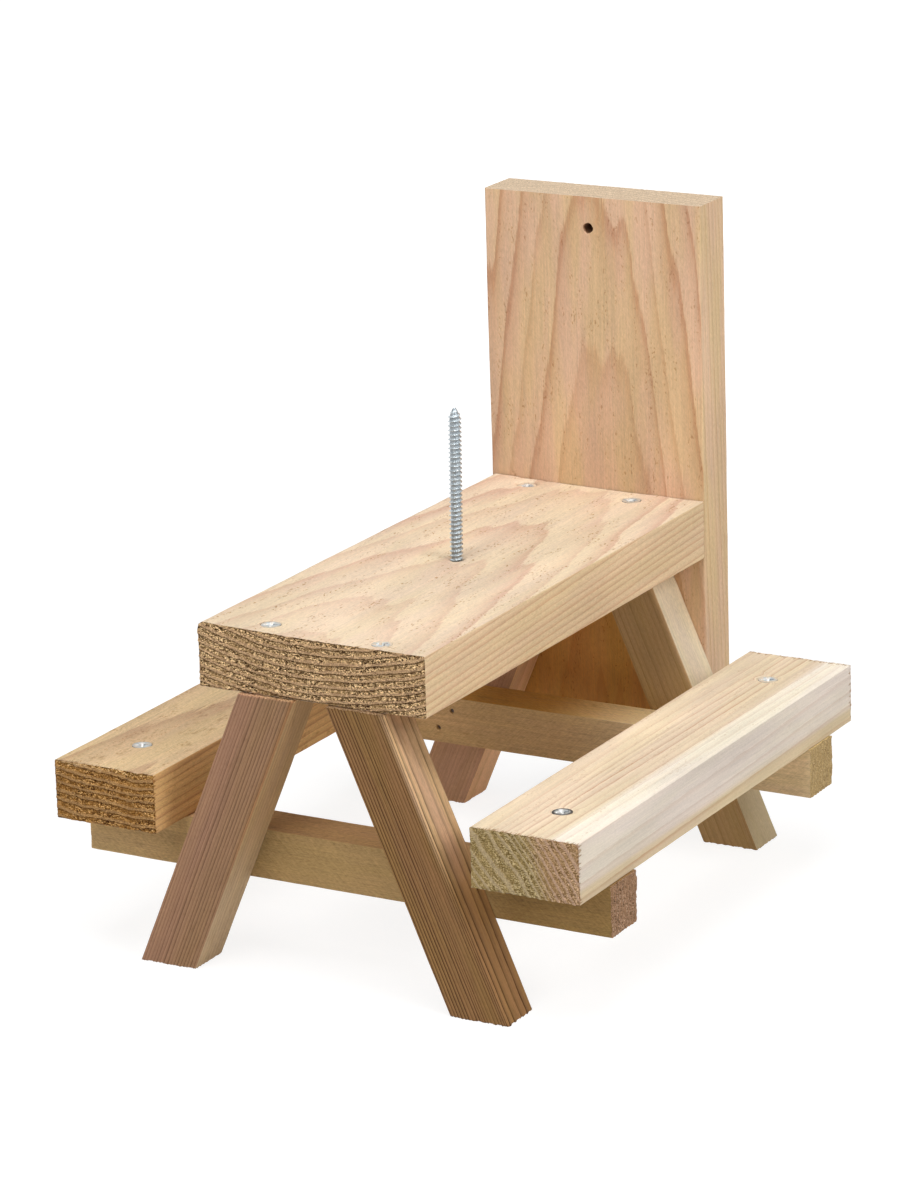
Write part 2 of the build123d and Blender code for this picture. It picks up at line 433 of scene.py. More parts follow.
def blend(share, first, second, mode="MIX"):
    """The colour output of a mix node, whose inputs 6 and 7 and output 2 are colours."""
    inputs = {0: share, 6: first, 7: second}
    return join("Mix", inputs, data_type="RGBA", blend_type=mode).outputs[2]


def tinted(share, colour, tint):
    """A colour that is multiplied by a tint where the share is 1."""
    return blend(share, colour, blend(1.0, colour, tint, "MULTIPLY"))


def cell_noise(vector, cell, detail, rough, place=0.0, turn=(0, 0, 0)):
    """Noise about 0.5, with cells of that size in each direction of a turned frame."""
    inputs = {"Vector": vector, "Location": (place, place, place), "Rotation": turn, "Scale": cell}
    mapped = join("Mapping", inputs, vector_type="TEXTURE").outputs[0]
    inputs = {"Vector": mapped, "Scale": 1.0, "Detail": detail, "Roughness": rough}
    return join("TexNoise", inputs).outputs["Fac"]


def around(noise, amount, start=1.0):
    """A start value plus an amount times how far a noise is from its middle."""
    return grown(calc("SUBTRACT", noise, 0.5), amount, start)


def lit_by(colour, light):
    """A colour times a value."""
    grey = join("CombineColor", {"Red": light, "Green": light, "Blue": light}).outputs[0]
    return blend(1.0, colour, grey, "MULTIPLY")


def new_group(name, colours, values):
    """A shader group that reads the grain, colours and values, and puts out a colour, a roughness and a
    height. Gives the group and what it reads."""
    group = bpy.data.node_groups.new(name, "ShaderNodeTree")
    for kind, labels in (("Vector", "grain"), ("Color", colours), ("Float", values)):
        for label in labels.split():
            group.interface.new_socket(label, in_out="INPUT", socket_type=f"NodeSocket{kind}")
    for kind, label in (("Color", "colour"), ("Float", "roughness"), ("Float", "height")):
        group.interface.new_socket(label, in_out="OUTPUT", socket_type=f"NodeSocket{kind}")
    return group, group.nodes.new("NodeGroupInput").outputs


def new_material(name):
    """A material with nodes, its tree and its shader."""
    material = bpy.data.materials.new(name)
    material.use_nodes = True
    return material, material.node_tree, material.node_tree.nodes["Principled BSDF"]


SAWN_COLOURS = "early late sapwood edge_tint"
SAWN_VALUES = "broad line sap_line edge_broad edge_line hue streak fuzz saw flecks smudge tear"
END_COLOURS = "early late tips pits"
END_VALUES = "chop line"


def sawn_cedar_group():
    """Colour and relief of cedar along the grain. Pale early wood turns to darker late wood through each
    ring, more in some rings than in others, with a ragged fringe. A share of it goes to a sapwood colour,
    which on some boards is real sapwood and on others painted light and shade. Over it lie fibre streaks,
    slow changes of tone, slanting saw marks, lifted fuzz, clusters of torn flecks, smudges, and fibres torn
    dark from the ends. The narrow edges have their own tint, which on the legs paints their sides lighter,
    saw marks and strength of the rings, and no flecks."""
    group, take = new_group("sawn_cedar", SAWN_COLOURS, f"ring gap sap edge {SAWN_VALUES}")
    grain, edge = take["grain"], take["edge"]
    streak = cell_noise(grain, (0.8, 45, 0.8), 3.0, 0.6)
    fibre = cell_noise(grain, (0.28, 9, 0.28), 2.0, 0.6, 70.0)
    tone = cell_noise(grain, (16, 70, 16), 1.0, 0.5, 130.0)
    hue = cell_noise(grain, (9, 60, 9), 2.0, 0.5, 260.0)
    fuzz = cell_noise(grain, (0.42, 1.5, 0.42), 3.0, 0.65, 590.0)
    face_saw = cell_noise(grain, (0.45, 8, 40), 2.0, 0.6, 11.0, (0, 0, 0.75))
    edge_saw = cell_noise(grain, (40, 8, 0.45), 2.0, 0.6, 17.0, (0.6, 0, 0))
    saw = by_side(edge, face_saw, edge_saw)

    # Rings, each with its own strength, in heartwood and in sapwood, which some boards use for painted light
    number = around(fibre, 0.22, take["ring"])
    part, whole = calc("FRACT", number), calc("FLOOR", number)
    chance = join("TexWhiteNoise", {"W": whole}, noise_dimensions="1D").outputs["Value"]
    fall = step_up(part, 0.94, 1.0, 1.0, 0.0)
    broad = times(step_up(part, 0.2, 0.95), fall, take["broad"], by_side(edge, 1.0, take["edge_broad"]))
    thin = times(step_up(part, 0.72, 0.94), fall)
    late = times(grown(thin, take["line"], broad), grown(chance, 0.85, 0.42))
    late = times(late, step_up(streak, 0.3, 0.65, 0.6, 1.1), by_side(edge, 1.0, take["edge_line"]))
    heart = blend(late, take["early"], take["late"])
    pale = blend(times(late, take["sap_line"]), take["sapwood"], take["late"])
    wood = blend(take["sap"], heart, pale)

    # Light and dark fibres, then changes of hue
    light = around(streak, take["streak"])
    light = around(fibre, times(take["streak"], 0.6), light)
    light = around(tone, 0.4, light)
    light = around(fuzz, take["fuzz"], light)
    light = around(saw, take["saw"], light)
    yellow, pink = (0.985, 1.0, 0.91, 1), (1.015, 0.97, 1.06, 1)
    wood = tinted(take["hue"], lit_by(wood, light), blend(step_up(hue, 0.36, 0.64), yellow, pink))
    wood = tinted(edge, wood, take["edge_tint"])

    # Torn flecks, smudges, and fibres torn from the ends
    dots = cell_noise(grain, (0.62, 1.6, 0.62), 1.0, 0.5, 310.0)
    crowd = cell_noise(grain, (2.4, 20, 2.4), 1.0, 0.5, 470.0)
    fleck = times(step_up(dots, 0.60, 0.67), step_up(crowd, 0.52, 0.63))
    fleck = times(fleck, take["flecks"], calc("SUBTRACT", 1.0, edge))
    wood = tinted(times(fleck, 0.7), wood, (0.62, 0.44, 0.26, 1))
    spots = cell_noise(grain, (2.2, 6, 2.2), 4.0, 0.7, 830.0)
    areas = cell_noise(grain, (14, 30, 14), 1.0, 0.5, 910.0)
    dirt = times(step_up(spots, 0.5, 0.72), step_up(areas, 0.4, 0.62), take["smudge"])
    wood = tinted(dirt, wood, (0.50, 0.36, 0.22, 1))
    splits = cell_noise(grain, (0.7, 30, 0.7), 2.0, 0.6, 990.0)
    reach = times(step_up(splits, 0.38, 0.75), take["tear"])
    tear = step_up(calc("SUBTRACT", reach, take["gap"]), 0.0, 0.6)
    wood = tinted(times(tear, 0.75), wood, (0.48, 0.33, 0.19, 1))

    height = times(late, 0.03)
    for relief, amount in ((fibre, 0.10), (fuzz, 0.16), (saw, 0.09), (tear, -0.25), (fleck, -0.12)):
        height = grown(relief, amount, height)
    rough = step_up(streak, 0.2, 0.8, 0.74, 0.92)
    plug(group.nodes.new("NodeGroupOutput"), {"colour": wood, "roughness": rough, "height": height})
    return group


def torn_end_group():
    """Colour and relief of sawn end grain. Late wood lies in smooth ropes with a painted shadow line on
    their outer side, and the early wood between is chopped into pits darkened with painted shade and bright
    fragments, more in some patches than in others."""
    group, take = new_group("torn_end_grain", END_COLOURS, f"ring {END_VALUES}")
    grain = take["grain"]
    coarse = cell_noise(grain, (1.25, 20, 0.52), 3.0, 0.65)
    fine = cell_noise(grain, (0.52, 20, 0.32), 2.0, 0.6, 50.0)
    hairs = cell_noise(grain, (0.3, 20, 0.9), 2.0, 0.6, 90.0)
    patch = step_up(cell_noise(grain, (9, 60, 6), 1.0, 0.5, 140.0), 0.36, 0.6, 0.4, 1.0)
    part = calc("FRACT", around(coarse, 0.3, take["ring"]))
    rope = times(step_up(part, 0.50, 0.72), step_up(part, 0.92, 1.0, 1.0, 0.0))
    # A painted shadow line just outside each rope
    line = times(step_up(part, 0.02, 0.24, 1.0, 0.0), take["line"], step_up(coarse, 0.36, 0.52))
    open_wood = times(grown(rope, -0.65, 1.0), times(take["chop"], patch))

    wood = blend(rope, take["early"], take["late"])
    bits = grown(fine, 0.5, times(coarse, 0.5))
    wood = blend(times(step_up(bits, 0.51, 0.57), open_wood), wood, take["tips"])
    # Painted shade in the pits and along the shadow lines
    dark = calc("MAXIMUM", times(step_up(bits, 0.42, 0.495, 1.0, 0.0), open_wood), line)
    wood = blend(dark, wood, take["pits"])
    uneven = grown(rope, -0.45, 1.2)
    wood = lit_by(wood, around(hairs, uneven, around(fine, uneven)))

    rise = times(grown(fine, 0.35, times(coarse, 0.25)), uneven)
    rise = grown(dark, -0.3, grown(rope, 0.25, rise))
    height = times(rise, grown(take["chop"], 0.8, 0.2))
    rough = step_up(fine, 0.2, 0.8, 0.8, 0.95)
    plug(group.nodes.new("NodeGroupOutput"), {"colour": wood, "roughness": rough, "height": height})
    return group


def cedar_materials(name, groups, stock):
    """A board's two finishes, along the grain and across its ends, from the shared groups and its
    stock."""
    made = []
    along = {label: stock[label] for label in f"{SAWN_COLOURS} {SAWN_VALUES}".split() if label in stock}
    end = dict(zip(f"{END_COLOURS} {END_VALUES}".split(), stock["end"]))
    for suffix, group, values in (("along", groups[0], along), ("end", groups[1], end)):
        material, tree, shader = new_material(f"{name}_{suffix}")
        finish = add(tree, "Group", node_tree=group)
        for label in ("ring", "grain", "sap", "edge", "gap"):
            if label in finish.inputs:
                read = add(tree, "Attribute", attribute_name=label).outputs
                plug(finish, {label: read["Vector" if label == "grain" else "Fac"]})
        for label, value in values.items():
            plug(finish, {label: (*value, 1) if isinstance(value, tuple) else value})
        stain_and_painted_light = add(tree, "Attribute", attribute_name="stain_and_painted_light").outputs["Color"]
        colour = blend(1.0, finish.outputs["colour"], stain_and_painted_light, "MULTIPLY")
        bump = {"Height": finish.outputs["height"], "Distance": MM, "Strength": 0.7}
        normal = join("Bump", bump).outputs["Normal"]
        plug(shader, {"Base Color": colour, "Roughness": finish.outputs["roughness"], "Normal": normal,
                      "Specular IOR Level": 0.25})
        made.append(material)
    return made


def metal_material(name, colour, dull, rough, metallic):
    """Plated or drawn steel: a clear metal with cloudy roughness and a faint mottle of colour. Its attribute
    of painted shade, painted glints and dust makes it dark in corners, bright on flanks towards the lamps,
    and covers it with wood dust."""
    material, tree, shader = new_material(name)
    where = add(tree, "TexCoord").outputs["Object"]
    cloud = cell_noise(where, (1.4 * MM, 1.4 * MM, 1.4 * MM), 3.0, 0.6)
    scratch = cell_noise(where, (0.4 * MM, 0.4 * MM, 1.6 * MM), 2.0, 0.5, 3.0)
    plate = blend(step_up(cloud, 0.3, 0.7), (*colour, 1), (*dull, 1))
    read = add(tree, "Attribute", attribute_name="shade_glint_and_dust").outputs["Vector"]
    dark, bright, dust = join("SeparateXYZ", {"Vector": read}).outputs
    # Painted shade, then painted glints, then wood dust
    plate = tinted(dark, plate, (0.10, 0.10, 0.11, 1))
    plate = blend(bright, plate, (0.92, 0.92, 0.90, 1))
    plate = blend(dust, plate, (0.74, 0.58, 0.41, 1))
    clean = calc("SUBTRACT", 1.0, calc("MAXIMUM", times(bright, 0.8), dust))
    plated = step_up(scratch, 0.2, 0.8, rough * 0.7, rough * 1.4)
    plug(shader, {"Base Color": plate, "Metallic": times(clean, metallic),
                  "Roughness": grown(dust, 0.5, plated)})
    return material


# Fasteners


def ring_faces(rings, segments):
    """Four-sided faces between each ring of corners and the next, closed round, and ladders of faces over
    the first and the last ring."""
    first, second = np.meshgrid(np.arange(rings - 1), np.arange(segments), indexing="ij")
    first, second = first.ravel() * segments, second.ravel()
    after, upper = (second + 1) % segments, first + segments
    walls = np.column_stack([first + second, upper + second, upper + after, first + after])
    rung = np.arange(segments // 2 - 1)
    cap = np.column_stack([rung, rung + 1, segments - 2 - rung, segments - 1 - rung])
    return np.concatenate([walls, cap, cap[:, ::-1] + (rings - 1) * segments])


def screw_points(length, shank, head, point, spin, rim, gleam, dust):
    """A flat-head screw, point down, with its face at zero: a profile turned round the axis, whose face is
    sunk inside two crossed slots and a round middle, deepest at the centre. The face has painted shade in
    the slots, is dark round the rim, has painted glints on the slots' flanks on the side towards the lamps,
    and is dusty from the rim inwards by a ragged amount."""
    segments, face_rings, tip, rim_drop, rim_foot = 72, 26, 0.02, -0.05, -0.28
    scale = head / HEAD_RADIUS
    wing, slot, middle, wall = 2.2 * scale, 0.55 * scale, 1.2 * scale, 0.2 * scale
    neck = rim_foot - (head - shank) / math.tan(HEAD_HALF_ANGLE)
    radii = [*np.linspace(tip, head * 0.96, face_rings), head, head, shank, shank, shank * 0.6, tip]
    below = [rim_drop, rim_foot, neck, point - length, 0.4 * point - length, -length]
    levels = np.concatenate([np.zeros(face_rings), below])
    turn = np.linspace(0, 2 * math.pi, segments, endpoint=False)
    r, angle = np.meshgrid(radii, turn, indexing="ij")
    x, y = r * np.cos(angle + spin), r * np.sin(angle + spin)
    on_face = (np.arange(len(radii)) < face_rings)[:, None]

    # How far outside the slots each point is, and how deep it is sunk
    slot_x, slot_y = np.abs(r * np.cos(angle)), np.abs(r * np.sin(angle))
    outside = np.minimum(np.maximum(slot_x - wing, slot_y - slot), np.maximum(slot_y - wing, slot_x - slot))
    outside = np.minimum(outside, r - middle)
    deep = scale * (1.5 - np.clip(r / wing, 0, 1))
    sunk = np.clip(-outside / wall, 0, 1)
    z = levels[:, None] - np.where(on_face, sunk * deep + 0.05 * (r / head) ** 2, 0)

    # Painted shade and painted glints, and dust
    lit = ease(0.0, 0.7, (0.4 * y - 0.92 * x) / np.maximum(r, 0.3 * scale))
    flank = ease(-0.6 * scale, -0.1 * scale, outside) * (1 - ease(0.1 * scale, 0.5 * scale, outside))
    in_slot = ease(0.0, 0.4, sunk)
    dark = np.maximum(in_slot * (1 - 0.95 * gleam * lit), rim * ease(0.66, 0.9, r / head))
    bright = gleam * np.maximum(flank, in_slot) * lit
    spots = np.column_stack([x.ravel(), y.ravel(), np.full(x.size, 9.7 * spin)])
    ragged = soft_noise(spots, (1.1, 1.1, 1.1), 61).reshape(x.shape)
    dusty = dust * ease(0.45, 0.95, r / head + 0.4 * ragged)
    shade_glint_and_dust = np.stack([dark * (1 - dusty), bright * (1 - dusty), dusty], axis=-1)
    shade_glint_and_dust = np.where(on_face[..., None], shade_glint_and_dust, (0.8, 0, 0)).reshape(-1, 3)
    return np.column_stack([x.ravel(), y.ravel(), z.ravel()]), ring_faces(len(radii), segments), shade_glint_and_dust


def spike_points(rise):
    """The threaded spike, point up, with the wood's surface at zero: on a grid round the axis, the radius
    is the core plus a thin flange where the height less the turn's share of the pitch is near a half
    pitch. Both shrink to a blunt gimlet point. Painted shade darkens it between the flanges."""
    segments, steps_a_turn, tip = 48, 18, 0.03
    flange_share, flange_flat = 0.46, 1.15
    point_length, bluntness, thread_end, thread_fade = 3.4, 0.55, 0.7, 2.6
    steps = int((rise + SPIKE_GRIP) / SPIKE_PITCH * steps_a_turn)
    height = np.linspace(-SPIKE_GRIP, rise, steps)
    turn = np.linspace(0, 2 * math.pi, segments, endpoint=False)
    z, angle = np.meshgrid(height, turn, indexing="ij")
    part = z / SPIKE_PITCH - angle / (2 * math.pi)
    part = np.abs(part - np.floor(part) - 0.5) * 2
    flange = np.clip((1 - part / flange_share) * flange_flat, 0, 1)
    core = SPIKE_CORE * np.clip((rise - z) / point_length, 0, 1) ** bluntness
    reach = np.clip((rise - z - thread_end) / thread_fade, 0, 1)
    radius = np.maximum(core + (SPIKE_CREST - SPIKE_CORE) * flange * reach, tip)
    x, y = radius * np.cos(angle), radius * np.sin(angle)
    points = np.column_stack([x.ravel(), y.ravel(), z.ravel()])
    shade_glint_and_dust = np.zeros_like(points)
    # Painted shade between the flanges
    shade_glint_and_dust[:, 0] = (0.52 * ease(0.40, 0.62, part)).ravel()
    return points, ring_faces(steps, segments)[:, ::-1], shade_glint_and_dust


def steel_piece(name, node, copies, material, sharp):
    """One steel object from several sets of corners, faces and painted shade, glints and dust, in the place
    of a CAD node.
    """
    starts = np.cumsum([0] + [len(points) for points, _, _ in copies[:-1]])
    faces = np.concatenate([faces + start for (_, faces, _), start in zip(copies, starts)])
    points = np.concatenate([points for points, _, _ in copies])
    piece, used = make_piece(name, points, faces, [material], sharp=sharp)
    store(piece, "shade_glint_and_dust", np.concatenate([shade_glint_and_dust for _, _, shade_glint_and_dust in copies])[used])
    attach(piece, "root")
    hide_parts(node)


# How deep each screw sits, its turn, and how dark its rim, how bright the painted glints on its slots and
# how dusty its face are
SCREW_LOOKS = {
    "top_screws_front": ((0.3, 0.3, 0.35, 0.9, 0.45), (0.3, 0.9, 0.2, 0.8, 0.95)),
    "top_screws_rear": ((0.95, 0.5, 0.2, 0.6, 1), (0.2, 1.2, 0.15, 1, 0.7)),
    "bench_screws_left": ((0.3, 0.6, 0.3, 0.9, 0.4), (0.3, 0.2, 0.3, 0.6, 0.4)),
    "bench_screws_right": ((0.3, 0.75, 1, 0.8, 0), (0.3, 0.4, 0.1, 0.9, 0.8)),
    "back_screws": ((0.3, 0.2, 0.4, 0.6, 0.3), (0.3, 1, 0.3, 0.7, 0.4)),
}

# Places of the fasteners, from the CAD nodes
screw_seats = {}
for node in SCREW_LOOKS:
    low, high = node_box(node)
    inner, outer, middle = low + HEAD_RADIUS, high - HEAD_RADIUS, (low + high) / 2
    if node.startswith("top"):
        screw_seats[node] = [(inner[0], outer[1]), (outer[0], inner[1])]
    elif node.startswith("bench"):
        screw_seats[node] = [(middle[0], inner[1]), (middle[0], outer[1])]
    else:
        screw_seats[node] = [(inner[0], middle[2]), (outer[0], middle[2])]
spike_low, spike_high = node_box("corn_spike")
spike_axis = (spike_low[:2] + spike_high[:2]) / 2

# Hole outlines, from the middle out: a radius and a depth for each grid ring
COUNTERSINK = [(0, 2.7), (0.45, 2.7), (0.9, 2.6), (1.4, 2.5), (1.9, 2.4), (2.5, 2.2), (3.1, 1.9),
               (3.56, 1.3), (3.62, 0.34), (3.95, 0.08), (4.5, 0)]
DEEP_SINK = [(0, 3.2), (0.45, 3.2), (0.9, 3.1), (1.4, 3.0), (1.9, 2.9), (2.5, 2.7), (3.1, 2.4), (3.58, 1.9),
             (3.7, 0.95), (4.1, 0.45), (4.7, 0.12), (5.2, 0.0)]
SPIKE_HOLE = [(0, 3.0), (0.7, 3.0), (1.4, 2.8), (2.05, 2.2), (2.3, 0.7), (2.6, 0.12), (2.9, 0.0)]
SPIKE_HEAD_HOLE = [(0, 4.0), (0.6, 4.0), (1.2, 3.9), (1.8, 3.7), (2.4, 3.5), (3.0, 3.2), (3.6, 2.8),
                   (4.2, 2.2), (4.25, 1.2), (4.35, 0.3), (4.6, 0.0)]
NAIL_PIT = [(0, 1.5), (0.84, 1.45), (1.0, 0.15), (1.3, 0.0)]
HANG_BORE = [(0, 9.75), (1.9, 9.75), (1.9, 4.0), (1.9, 1.2), (1.92, 0.35), (2.15, 0.0)]
SCREW_RAG = 0.04  # how ragged a screw hole's rim is


def local_holes(seats, centre, outline, **more):
    """Holes at seats, taken from a board's own middle."""
    return [{"at": (seat[0] - centre[0], seat[1] - centre[1]), "outline": outline, **more} for seat in seats]


# Wood

# What a stock has unless its board says otherwise. A stain, which on some boards paints shade and
# highlights, goes from its first tint to its second by the mask of its steps, and sapwood, which on some
# boards paints light and shade, has an amount and steps. An end has the colours of its early and late wood,
# its bright tips and its pits, which hold painted shade, how chopped it is and how dark its ring lines,
# which are painted shadows under the ropes, are.
PLAIN_STOCK = dict(
    lean=(0, 0), tighten=0, wave=0.35, sway=14, jag=0.2, teeth=0.12, calm=0, reach=999, uneven=0.35,
    mark=(0, 0, 0), swell=0, ease=(0.4, 0.4, 0.4, 0.4), torn=0.5, chips=0.9, fringe=0, ends=(1, 1),
    cell=0.46, coarse=3, sap=[], stain_and_painted_light=[], sap_line=0.3, edge_broad=0.45, edge_line=1, hue=0.3, streak=0.6,
    fuzz=0.5, saw=0.1, flecks=0.15, smudge=0.3, tear=0.8,
    end=((0.36, 0.22, 0.11), (0.3, 0.175, 0.085), (0.5, 0.36, 0.22), (0.12, 0.06, 0.024), 0.7, 0.5))
LEG_STOCK = dict(jag=0.15, teeth=0.06, uneven=0.9, chips=0.35, coarse=4.0)
FRONT_LEG_STOCK = dict(LEG_STOCK, wave=0.3, jag=0.12)
STRETCHER_STOCK = dict(wave=0.3, teeth=0.08, chips=0.4, coarse=4.0)
RIGHT_SIDE = (8, 10, 1, 0, 0)  # of a leg
UPPER_FACE = [(9, 9.001, -1, 0, 0), (-60, -59.999, 0, -1, 0)]  # of the rear stretcher, left of the bench
BOARDS = {
    "table_top": dict(
        slot="cedar_pale", pith=(0, 150), lean=(0, 0.055), ring=2.6, wave=0.7, sway=9.5, jag=0.5,
        teeth=0.1, calm=0.5, reach=103, seed=25, mark=(-6, 2, 11), swell=TOP_SWELL,
        ease=(0.8, 2.8, 0.8, 0.6), torn=0.75, ends=(1, 0.5), coarse=4.5,
        early=(0.778, 0.622, 0.445), late=(0.663, 0.454, 0.322), edge_tint=(0.945, 0.89, 0.755), broad=0.8,
        line=0.45, edge_line=2.3, streak=0.3, flecks=1.2, smudge=0.12,
        end=((0.395, 0.243, 0.1045), (0.464, 0.291, 0.157), (0.936, 0.66, 0.356),
             (0.05, 0.018, 0.004), 1.3, 1)),
    # Browner low on the front, under a slanting line: painted shade below the table top
    "back_board": dict(
        slot="cedar_pink", arch=(1.5, 16, 0.33, 0.36), lean=(0, 0.052), ring=2.9, wave=0.6, sway=10,
        jag=0.6, uneven=0.5, seed=54, mark=(2, 46, 9.75), ease=(0.8, 0.8, 0.8, 0.8), torn=0.1, chips=0.25,
        ends=(1, 0.3), cell=0.5,
        stain_and_painted_light=[(PLAIN, (0.97, 0.76, 0.34), (22, 34, 0, -1, 0), (8.5, 9.5, 0, 0, 1),
                (-15.9, -3.9, -1, -0.43, 0))],
        early=(0.685, 0.47, 0.291), late=(0.541, 0.308, 0.172), edge_tint=(1.02, 1.07, 1.05), broad=0.5,
        line=0.6, hue=0.8, streak=0.4, saw=0.15, flecks=0.8, smudge=0.1, tear=0,
        end=((0.66, 0.51, 0.36), (0.58, 0.44, 0.3), (0.72, 0.58, 0.43), (0.5, 0.36, 0.24), 0.3, 0.15)),
    # Pale sapwood in the outer upper corner, a yellower foot outside, and a pinker outer half in front
    "bench_right": dict(
        slot="cedar_sapwood", pith=(-105, -77), lean=(0.006, 0.008), ring=3, tighten=0.006, wave=0.7,
        jag=0.4, teeth=0.1, seed=37, torn=0.45, uneven=0.9, sap=[(1, (12.8, 15.6, 0.832, 0, 0.555))],
        stain_and_painted_light=[(PLAIN, (1, 1, 0.87), (5, 6.4, 0, 0, -1), (20, 20.4, 1, 0, 0)),
               ((0.98, 1.01, 0.99), (1.1, 0.97, 1.12), (1, 10, 1, 0, 0.3), (105.2, 105.4, 0, -1, 0))],
        early=(0.775, 0.625, 0.465), late=(0.59, 0.375, 0.25), sapwood=(0.885, 0.79, 0.675),
        edge_tint=(0.82, 0.785, 0.795), broad=0.4, line=0.5, edge_line=1.3, streak=0.35, fuzz=0.3,
        saw=0.04, flecks=0.45, smudge=0.1, tear=3,
        end=((0.325, 0.222, 0.085), (0.415, 0.305, 0.172), (0.62, 0.48, 0.27),
             (0.11, 0.058, 0.018), 0.75, 0.3)),
    "bench_left": dict(
        slot="cedar_tan", pith=(8, 150), lean=(0, 0.03), ring=3, wave=0.8, jag=0.35, teeth=0.14,
        seed=41, torn=0.7, chips=1.2, fringe=0.9, cell=0.42,
        early=(0.663, 0.488, 0.283), late=(0.499, 0.326, 0.192), edge_tint=(1.03, 0.875, 0.635), broad=0.55,
        line=0.6, edge_broad=1.1, edge_line=1.65, fuzz=0.7, saw=0.2, flecks=0.9, smudge=0.65, tear=2.4,
        end=((0.314, 0.142, 0.0273), (0.348, 0.192, 0.0733), (0.725, 0.427, 0.16),
             (0.065, 0.021, 0.002), 1, 0.9)),
    # Pinker to the left, browner up the right side in painted shade under the table top, a painted highlight
    # on the torn fibres along the top of the front, and side faces painted lighter than the front and back
    "leg_front_left": dict(
        FRONT_LEG_STOCK, pith=(-130, -75), ring=1.02, uneven=0.35, seed=53,
        stain_and_painted_light=[((1.03, 1, 1.07), (0.99, 1, 0.96), (-5, 3, 1, 0, 0)),
               (PLAIN, (1, 0.885, 0.74), RIGHT_SIDE, (-30, 15, 0, 1, 0)),
               (PLAIN, (1.75, 1.7, 1.8), (56, 56.4, 0, 1, 0), (6, 8, 0, 0, 1))],
        early=(0.327, 0.186, 0.102), late=(0.152, 0.077, 0.04), edge_tint=(1.45, 1.8, 1.98),
        edge_line=0.35, broad=0.6, line=0.95, streak=0.7),
    # Painted light up the right side, fading out lower down where the bench shades it, a painted shadow of
    # the table top darker at the top, above a slanting line, and side faces painted lighter than the front
    # and back
    "leg_front_right": dict(
        FRONT_LEG_STOCK, pith=(150, -47), ring=1.08, uneven=0.4, seed=67, chips=1.1,
        sap=[(1, (-12, 22, 0, 1, 0), RIGHT_SIDE)],
        stain_and_painted_light=[(PLAIN, (0.67, 0.64, 0.61), (31.5, 45.5, 0, 1, -1.2), RIGHT_SIDE)],
        early=(0.267, 0.143, 0.052), late=(0.06, 0.0235, 0.006), sapwood=(0.6, 0.385, 0.22),
        edge_tint=(1.19, 1.2, 1.19), broad=0.8, line=1, edge_broad=0.8, edge_line=0.8, sap_line=0.6,
        hue=0.8, streak=0.8, smudge=0.25, tear=1.2),
    # Side faces painted lighter than the front and back: painted light
    "leg_rear_left": dict(
        LEG_STOCK, pith=(-140, 15), ring=1.6, seed=71,
        early=(0.5, 0.292, 0.18), late=(0.34, 0.183, 0.102), edge_tint=(1.65, 1.7, 1.48), broad=0.25,
        line=0.35),
    # Painted light up the right side, fading lower down under the bench's shade; side faces painted lighter
    "leg_rear_right": dict(
        LEG_STOCK, pith=(160, 4), ring=2.2, seed=83, sap=[(1, (-12, 22, 0, 1, 0), RIGHT_SIDE)],
        early=(0.41, 0.264, 0.118), late=(0.25, 0.145, 0.053), sapwood=(0.665, 0.446, 0.237),
        edge_tint=(1.32, 1.64, 2.22), edge_line=0.4, broad=0.3, line=0.35, streak=0.4, flecks=0.1,
        smudge=0.15),
    # Darker from left to right, in two steps: painted shade, deepest under the right bench
    "stretcher_front": dict(
        STRETCHER_STOCK, pith=(10, 140), ring=2.2, seed=97,
        sap=[(0.55, (-85, -30, 0, 1, 0)), (0.45, (40, 70, 0, 1, 0))],
        early=(0.49, 0.33, 0.15), late=(0.33, 0.205, 0.085), sapwood=(0.258, 0.158, 0.054),
        edge_tint=(1.37, 1.29, 1.44), broad=0.3, line=0.2, fuzz=1, saw=0.5, flecks=0.1, smudge=0.15,
        end=((0.33, 0.185, 0.098), (0.315, 0.175, 0.093), (0.5, 0.33, 0.22),
             (0.08, 0.038, 0.018), 0.8, 0.3)),
    # Paler to the right in painted light, and the upper face browner to the left in painted shade under the
    # table
    "stretcher_rear": dict(
        STRETCHER_STOCK, pith=(-15, 140), ring=2.4, seed=103, sap=[(1, (-5, 55, 0, 1, 0))],
        stain_and_painted_light=[(PLAIN, (0.68, 0.53, 0.3), *UPPER_FACE),
               (PLAIN, (1.897059, 2.641509, 5.666667), (-10, 26, 0, 1, 0), *UPPER_FACE)],
        early=(0.47, 0.295, 0.134), late=(0.36, 0.21, 0.085), sapwood=(0.58, 0.43, 0.245),
        edge_tint=(1.31, 1.335, 1.115), broad=0.3, line=0.2, fuzz=0.8, saw=0.45, flecks=0.1,
        end=((0.44, 0.305, 0.135), (0.41, 0.28, 0.12), (0.52, 0.39, 0.21), (0.28, 0.17, 0.07), 0.6, 0.3)),
}

